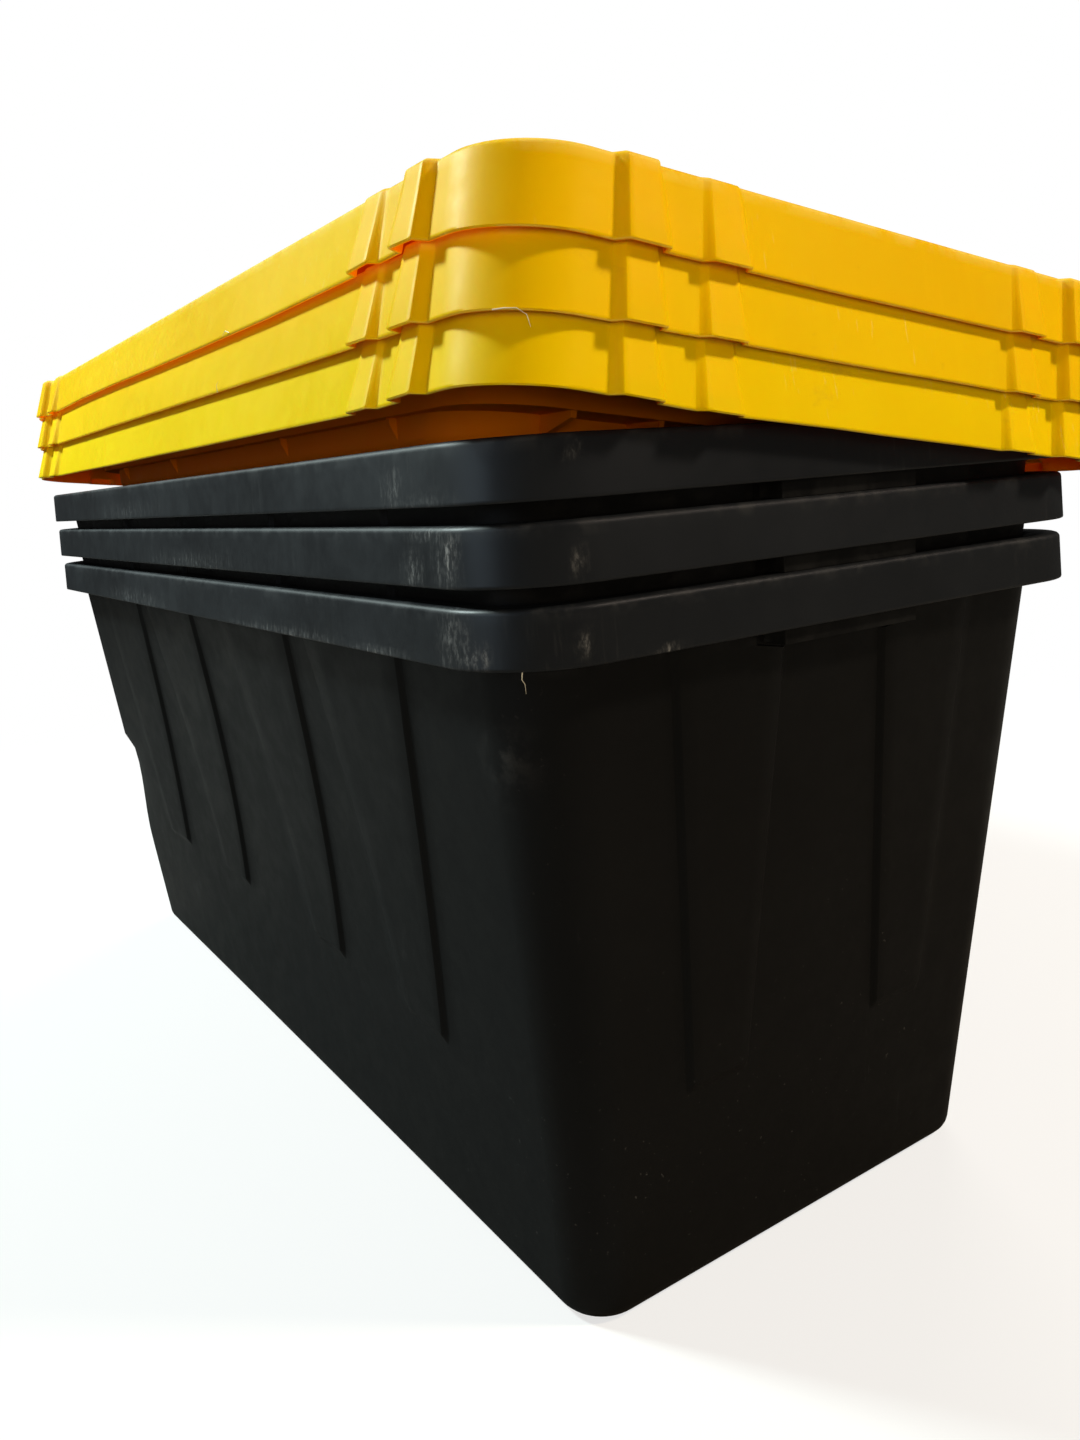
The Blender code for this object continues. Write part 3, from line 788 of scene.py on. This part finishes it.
def black_rim(name, seed):
    """Smoother black plastic with upright scratches, white scuffs and rubbed edges."""
    n = Nodes(name)
    offset = (seed, seed * 0.7, 0.0)
    cloud = n.noise(4.5, detail=5.0, offset=offset)
    fine = n.noise(46.0, detail=6.0, rough=0.68, offset=offset)
    streak = n.noise(1.0, (210.0, 210.0, 14.0), detail=4.0, rough=0.65, offset=offset)
    patch = n.noise(7.0, detail=3.0, offset=(seed + 3.1, 0.0, seed))
    wear, scuff = n.mark("wear"), n.mark("scuff")
    speck = n.noise(420.0, (1.0, 1.0, 0.45), detail=4.0, rough=0.7, offset=offset)
    light = n.maths("MULTIPLY", n.ramp(streak, 0.55, 0.72), n.ramp(patch, 0.50, 0.72, 0.0, 0.05))
    heavy = n.maths("MULTIPLY", scuff, n.ramp(streak, 0.42, 0.66, 0.25, 1.0))
    heavy = n.maths("MULTIPLY", heavy, n.ramp(speck, 0.44, 0.64, 0.12, 0.9))
    rubbed = n.maths("MULTIPLY", wear, n.ramp(fine, 0.46, 0.66, 0.0, 0.06))
    worn = n.maths("MAXIMUM", n.maths("MAXIMUM", light, heavy), rubbed)
    colour = n.mix(n.ramp(cloud, 0.3, 0.7), RIM_DARK, RIM_LIGHT)
    colour = n.mix(worn, colour, RIM_WORN)
    n.link(colour, n.shader.inputs["Base Color"])
    gloss = n.maths("ADD", n.ramp(cloud, 0.25, 0.75, 0.42, 0.54), n.maths("MULTIPLY", worn, 0.25))
    n.link(n.maths("ADD", gloss, n.ramp(fine, 0.3, 0.7, -0.04, 0.05)), n.shader.inputs["Roughness"])
    n.shader.inputs["Specular IOR Level"].default_value = RIM_SPECULAR
    normal = n.bump(n.maths("SUBTRACT", fine, worn), 0.05, 0.0008)
    n.link(n.bump(cloud, 0.10, 0.004, normal), n.shader.inputs["Normal"])
    return n.material


def yellow_plastic(name, seed, green, glow):
    """Yellow plastic with flow marks, faint dirt, pale worn edges and painted orange shade underneath.

    The glow stands in for the light that comes through a thin skirt from its outside.
    """
    n = Nodes(name)
    offset = (seed, seed * 1.3, 0.0)
    cloud = n.noise(4.0, detail=4.0, offset=offset)
    flow = n.noise(1.0, (60.0, 60.0, 5.0), detail=3.0, offset=offset)
    fine = n.noise(55.0, detail=6.0, rough=0.65, offset=offset)
    streak = n.noise(1.0, (320.0, 320.0, 16.0), detail=2.0, offset=offset)
    smudge = n.noise(14.0, (1.0, 1.0, 2.0), detail=5.0, rough=0.7, offset=(seed, 5.0, 2.0))
    wear = n.mark("wear")
    deep, pale = (0.800, green, 0.0002, 1.0), (0.835, green + 0.04, 0.0006, 1.0)
    marked = (0.850, green + 0.06, 0.0015, 1.0)
    colour = n.mix(n.ramp(cloud, 0.3, 0.7), deep, pale)
    colour = n.mix(n.ramp(flow, 0.45, 0.75, 0.0, 0.25), colour, marked)
    colour = n.mix(n.ramp(smudge, 0.62, 0.78, 0.0, 0.28), colour, LID_DIRT)
    rubbed = n.maths("MULTIPLY", wear, n.ramp(fine, 0.38, 0.58, 0.0, 0.70))
    colour = n.mix(rubbed, colour, LID_RUBBED)
    scratch = n.maths("MULTIPLY", n.ramp(streak, 0.64, 0.72), n.ramp(cloud, 0.5, 0.65, 0.0, 0.22))
    colour = n.mix(scratch, colour, LID_SCRATCH)
    # Painted shade: the inside mark turns the lid's underside a darker orange
    colour = n.mix(n.ramp(n.mark("inside"), 0.45, 0.95), colour, UNDERSIDE_SHADE)
    n.link(colour, n.shader.inputs["Base Color"])
    gloss = n.ramp(cloud, 0.25, 0.75, 0.42, 0.51)
    n.link(n.maths("ADD", gloss, n.ramp(fine, 0.3, 0.7, -0.04, 0.06)), n.shader.inputs["Roughness"])
    normal = n.bump(n.noise(900.0, detail=2.0), 0.05, 0.0002)
    normal = n.bump(flow, 0.08, 0.0010, normal)
    n.link(normal, n.shader.inputs["Normal"])
    n.shader.inputs["Specular IOR Level"].default_value = LID_SPECULAR
    n.shader.inputs["Specular Tint"].default_value = LID_SPECULAR_TINT
    # Painted glow: emission on the skirt's inner side for light that comes through it, fading towards the
    # far side
    near = n.ramp(n.separate("Y"), GLOW_NEAR, GLOW_FAR, 1.0, GLOW_FAR_SHARE)
    orange = (glow, GLOW_GREEN_SHARE * glow, 0.0, 1.0)
    shine = n.mix(n.maths("MULTIPLY", n.mark("glow"), near), BLACK, orange)
    n.link(shine, n.shader.inputs["Emission Color"])
    n.shader.inputs["Emission Strength"].default_value = 1.0
    n.shader.inputs["Subsurface Weight"].default_value = LID_SUBSURFACE
    n.shader.inputs["Subsurface Radius"].default_value = LID_SUBSURFACE_RADIUS
    n.shader.inputs["Subsurface Scale"].default_value = 1.0
    return n.material


def flash_plastic(name):
    """Pale, thin moulding flash."""
    n = Nodes(name)
    cloud = n.noise(240.0, detail=3.0)
    n.link(n.mix(cloud, FLASH_DARK, FLASH_LIGHT), n.shader.inputs["Base Color"])
    n.link(n.ramp(cloud, 0.3, 0.7, 0.35, 0.55), n.shader.inputs["Roughness"])
    return n.material


def dress():
    """The finer mouldings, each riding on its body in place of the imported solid."""
    rings = bin_rings()
    for level, name in enumerate(BIN_NAMES):
        place = Matrix.Translation((0.0, 0.0, level * NEST_PITCH))
        seed = level * BIN_SEED_STEP
        finishes = [black_wall("wall_" + name, seed), black_rim("rim_" + name, seed)]
        item = moulding(name + "_skin", rings, place, bin_warp(level), finishes, BIN_SCUFFS[level])
        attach(item, name)
        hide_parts(name)
    rings = lid_rings()
    for level, name in enumerate(LID_NAMES):
        seed = level * LID_SEED_STEP
        finish = yellow_plastic("yellow_" + name, seed, LID_GREENS[level], LID_GLOWS[level])
        item = moulding(name + "_skin", rings, lid_place(level), lid_warp(level), [finish], [])
        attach(item, name)
        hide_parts(name)


def add_flash():
    """The hairs of flash that the mouldings' edges kept."""
    finish = flash_plastic("pale_flash")
    for number, (name, path) in enumerate(FLASH, 1):
        item = thread(f"{name}_flash_{number}", path, finish)
        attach(item, name)


def place_camera():
    """The camera at the photograph's view, for an image of 1080 by 1440."""
    forward = Vector((
        -math.sin(CAMERA_AZIMUTH) * math.cos(CAMERA_PITCH),
        math.cos(CAMERA_AZIMUTH) * math.cos(CAMERA_PITCH),
        -math.sin(CAMERA_PITCH),
    ))
    right = forward.cross(Vector((0.0, 0.0, 1.0))).normalized()
    down = forward.cross(right)
    cos, sin = math.cos(CAMERA_ROLL), math.sin(CAMERA_ROLL)
    data = bpy.data.cameras.new("camera")
    data.sensor_width = SENSOR
    data.lens = SENSOR * FOCAL_PX / IMAGE_HEIGHT_PX
    item = bpy.data.objects.new("camera", data)
    bpy.context.scene.collection.objects.link(item)
    rows = (right * cos + down * sin, right * sin - down * cos, -forward)
    matrix = Matrix(rows).transposed().to_4x4()
    matrix.translation = CAMERA_EYE
    item.matrix_world = matrix
    bpy.context.scene.camera = item


def area_light(name, heading, size, power, colour, lights, mirrored):
    """A soft square lamp that looks at the object, and either lights, or leaves highlights, or both."""
    data = bpy.data.lights.new(name, "AREA")
    data.size = size
    data.energy = power
    data.color = colour
    item = bpy.data.objects.new(name, data)
    bpy.context.scene.collection.objects.link(item)
    item.visible_diffuse = lights
    item.visible_glossy = mirrored
    place = LAMP_TARGET + Vector(heading).normalized() * LAMP_DISTANCE
    item.location = place
    item.rotation_euler = (LAMP_TARGET - place).to_track_quat("-Z", "Y").to_euler()


def light_scene():
    """The lamps, and a dim pale world that the camera sees as white."""
    for lamp in LAMPS:
        area_light(*lamp)
    world = bpy.data.worlds.new("studio")
    world.use_nodes = True
    tree = world.node_tree
    background = tree.nodes["Background"]
    background.inputs["Color"].default_value = WORLD_COLOUR
    path = tree.nodes.new("ShaderNodeLightPath")
    strength = tree.nodes.new("ShaderNodeMapRange")
    strength.inputs["To Min"].default_value = WORLD_LIGHT
    strength.inputs["To Max"].default_value = 1.0
    tree.links.new(path.outputs["Is Camera Ray"], strength.inputs["Value"])
    tree.links.new(strength.outputs["Result"], background.inputs["Strength"])
    bpy.context.scene.world = world
    bpy.context.scene.view_settings.view_transform = "Standard"


def floor_finish():
    """Pale and lit near the object, plain white towards the distance, and dim to the object itself."""
    material = bpy.data.materials.new("pale_floor")
    material.use_nodes = True
    nodes, links = material.node_tree.nodes, material.node_tree.links
    nodes.remove(nodes["Principled BSDF"])
    lit = nodes.new("ShaderNodeBsdfDiffuse")
    lit.inputs["Color"].default_value = FLOOR_COLOUR
    dim = nodes.new("ShaderNodeBsdfDiffuse")
    dim.inputs["Color"].default_value = FLOOR_BOUNCE
    white = nodes.new("ShaderNodeEmission")
    place = nodes.new("ShaderNodeTexCoord")
    distance = nodes.new("ShaderNodeVectorMath")
    distance.operation = "LENGTH"
    links.new(place.outputs["Object"], distance.inputs[0])
    share = nodes.new("ShaderNodeMapRange")
    share.interpolation_type = "SMOOTHSTEP"
    share.inputs["From Min"].default_value = FLOOR_FADE_START
    share.inputs["From Max"].default_value = FLOOR_FADE_END
    share.inputs["To Min"].default_value = FLOOR_WHITE_NEAR
    links.new(distance.outputs["Value"], share.inputs["Value"])
    seen = nodes.new("ShaderNodeMixShader")
    links.new(share.outputs["Result"], seen.inputs["Fac"])
    links.new(lit.outputs[0], seen.inputs[1])
    links.new(white.outputs[0], seen.inputs[2])
    path = nodes.new("ShaderNodeLightPath")
    both = nodes.new("ShaderNodeMixShader")
    links.new(path.outputs["Is Camera Ray"], both.inputs["Fac"])
    links.new(dim.outputs[0], both.inputs[1])
    links.new(seen.outputs[0], both.inputs[2])
    links.new(both.outputs[0], nodes["Material Output"].inputs["Surface"])
    return material


def lay_floor():
    """A plain pale floor under the lowest bin."""
    mesh = bpy.data.meshes.new("floor")
    corners = [(x * FLOOR_HALF, y * FLOOR_HALF, 0.0) for x, y in ((-1, -1), (1, -1), (1, 1), (-1, 1))]
    mesh.from_pydata(corners, [], [(0, 1, 2, 3)])
    mesh.materials.append(floor_finish())
    item = bpy.data.objects.new("floor", mesh)
    bpy.context.scene.collection.objects.link(item)


dress()
add_flash()
place_camera()
light_scene()
lay_floor()
